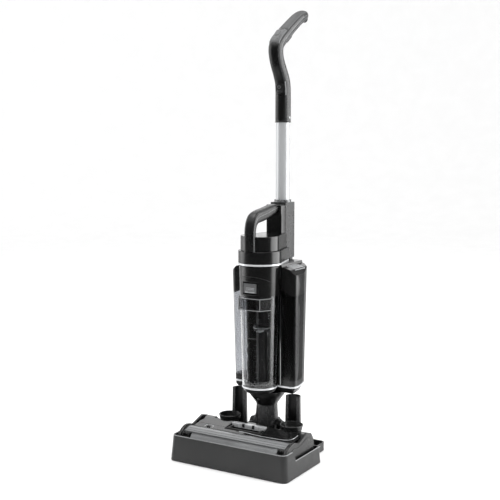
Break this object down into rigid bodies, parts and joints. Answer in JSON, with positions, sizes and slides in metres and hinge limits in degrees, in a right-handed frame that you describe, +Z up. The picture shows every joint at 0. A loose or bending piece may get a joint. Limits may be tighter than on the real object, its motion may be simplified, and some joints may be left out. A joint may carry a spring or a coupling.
{
  "type": "wet dry floor scrubber",
  "caption": "Upright cordless wet dry floor scrubber with clear front tank, soft roller head, reclining neck and bent grip, standing in its drip dock.",
  "frame": {"origin": "on the floor, at the middle of the footprint, under the recline axis", "axes": "+Z up along the upright machine, +Y to the rear, +X across the machine along the roller"},
  "size_m": [0.316, 0.3805, 1.068],
  "materials": {
    "dock_plastic": "satin charcoal moulding",
    "shell_plastic": "semi-gloss black",
    "head_plastic": "gloss dark grey",
    "frame_plastic": "matte black",
    "trim_chrome": "bright trim",
    "clear_tank": "clear tank plastic",
    "smoke_tank": "smoked tank plastic",
    "tube_metal": "satin anodised",
    "nap": "microfibre pile",
    "rubber": "soft black",
    "steel": "machined",
    "bright_plastic": "silver painted",
    "board": "circuit board",
    "grip": "fine textured",
    "filter": "pleated filter"
  },
  "bodies": {
    "dock": {"dock_tray": "dock_plastic", "holder_left": "dock_plastic", "holder_right": "dock_plastic", "charge_block": "dock_plastic", "dock_feet": "rubber"},
    "head": {"head_base": "frame_plastic", "head_top_cover": "head_plastic", "side_shield_left": "shell_plastic", "side_shield_right": "shell_plastic", "brush_motor": "steel", "drive_belt": "rubber", "wheel_axle": "steel", "squeegee": "rubber", "spray_bar": "frame_plastic", "head_screws": "steel", "pivot_pins": "frame_plastic"},
    "roller_cover": {"roller_cover": "head_plastic"},
    "roller": {"roller_core": "frame_plastic", "roller_nap": "nap"},
    "motor_pulley": {"motor_pulley": "frame_plastic"},
    "wheel_left": {"wheel_left": "rubber"},
    "wheel_right": {"wheel_right": "rubber"},
    "cover_lever": {"cover_lever": "bright_plastic"},
    "cover_latch": {"cover_latch": "frame_plastic"},
    "neck": {"neck_yoke": "frame_plastic", "neck_tube": "frame_plastic"},
    "body": {"neck_funnel": "frame_plastic", "body_base": "shell_plastic", "base_trim_band": "trim_chrome", "body_core": "shell_plastic", "core_back_cover": "frame_plastic", "control_board": "board", "water_pump": "steel", "suction_duct": "frame_plastic", "body_upper_shell": "shell_plastic", "upper_trim_band": "trim_chrome", "motor_housing": "shell_plastic", "motor_cover": "shell_plastic", "suction_motor": "steel", "carry_handle": "shell_plastic", "spine_front_shell": "shell_plastic", "spine_rear_shell": "shell_plastic", "battery_pack": "frame_plastic", "pole": "tube_metal", "handle_shell": "grip", "button_panel": "frame_plastic"},
    "clean_tank": {"clean_tank": "smoke_tank", "clean_tank_foot": "shell_plastic"},
    "dirty_tank": {"tank_base": "shell_plastic", "tank_band": "trim_chrome", "tank_shell": "clear_tank", "tank_top_cover": "shell_plastic", "spout_collar": "clear_tank", "inlet_tube": "frame_plastic", "tank_filter": "filter"},
    "latch_button": {"latch_button": "bright_plastic"},
    "tank_float": {"tank_float": "frame_plastic"},
    "power_button": {"power_button": "grip"},
    "mode_button": {"mode_button": "bright_plastic"},
    "trigger": {"trigger": "grip"}
  },
  "joints": [
    {"name": "lift_off", "type": "slide", "parent": "dock", "child": "head", "axis": [0, 0, 1], "range_m": [0, 0.15]},
    {"name": "roller_cover_lift", "type": "slide", "parent": "head", "child": "roller_cover", "axis": [0, 0, 1], "range_m": [0, 0.06]},
    {"name": "roller_spin", "type": "hinge", "parent": "head", "child": "roller", "pos_m": [0, -0.134, 0.039], "axis": [1, 0, 0], "continuous": true},
    {"name": "motor_pulley_spin", "type": "hinge", "parent": "head", "child": "motor_pulley", "pos_m": [0, -0.078, 0.039], "axis": [1, 0, 0], "continuous": true},
    {"name": "wheel_left_spin", "type": "hinge", "parent": "head", "child": "wheel_left", "pos_m": [0, -0.038, 0.0275], "axis": [1, 0, 0], "continuous": true},
    {"name": "wheel_right_spin", "type": "hinge", "parent": "head", "child": "wheel_right", "pos_m": [0, -0.038, 0.0275], "axis": [1, 0, 0], "continuous": true},
    {"name": "cover_lever_tilt", "type": "hinge", "parent": "head", "child": "cover_lever", "pos_m": [0, -0.099, 0.071], "axis": [1, 0, 0], "range_deg": [0, 60]},
    {"name": "cover_latch_press", "type": "slide", "parent": "head", "child": "cover_latch", "axis": [0, 0, -1], "range_m": [0, 0.0015], "stiffness_N_per_m": 400},
    {"name": "recline", "type": "hinge", "parent": "head", "child": "neck", "pos_m": [0, 0, 0.066], "axis": [-1, 0, 0], "range_deg": [0, 60]},
    {"name": "swivel", "type": "hinge", "parent": "neck", "child": "body", "pos_m": [0, 0, 0.117], "axis": [0, 0, 1], "range_deg": [-35, 35]},
    {"name": "clean_tank_slide", "type": "slide", "parent": "body", "child": "clean_tank", "axis": [0, 1, 0], "range_m": [0, 0.06]},
    {"name": "dirty_tank_slide", "type": "slide", "parent": "body", "child": "dirty_tank", "axis": [0, -1, 0], "range_m": [0, 0.11]},
    {"name": "tank_latch_press", "type": "slide", "parent": "dirty_tank", "child": "latch_button", "axis": [0, 1, 0], "range_m": [0, 0.0018], "stiffness_N_per_m": 400},
    {"name": "float_rise", "type": "slide", "parent": "dirty_tank", "child": "tank_float", "axis": [0, 0, 1], "range_m": [0, 0.06]},
    {"name": "power_button_press", "type": "slide", "parent": "body", "child": "power_button", "axis": [0, 1, 0], "range_m": [0, 0.0015], "stiffness_N_per_m": 500},
    {"name": "mode_button_press", "type": "slide", "parent": "body", "child": "mode_button", "axis": [0, 0.6428, -0.766], "range_m": [0, 0.001], "stiffness_N_per_m": 500},
    {"name": "trigger_pull", "type": "slide", "parent": "body", "child": "trigger", "axis": [0, -0.5736, 0.8192], "range_m": [0, 0.003], "stiffness_N_per_m": 500}
  ],
  "couplings": [
    {"joint": "motor_pulley_spin", "follows": "roller_spin", "ratio": 1}
  ]
}
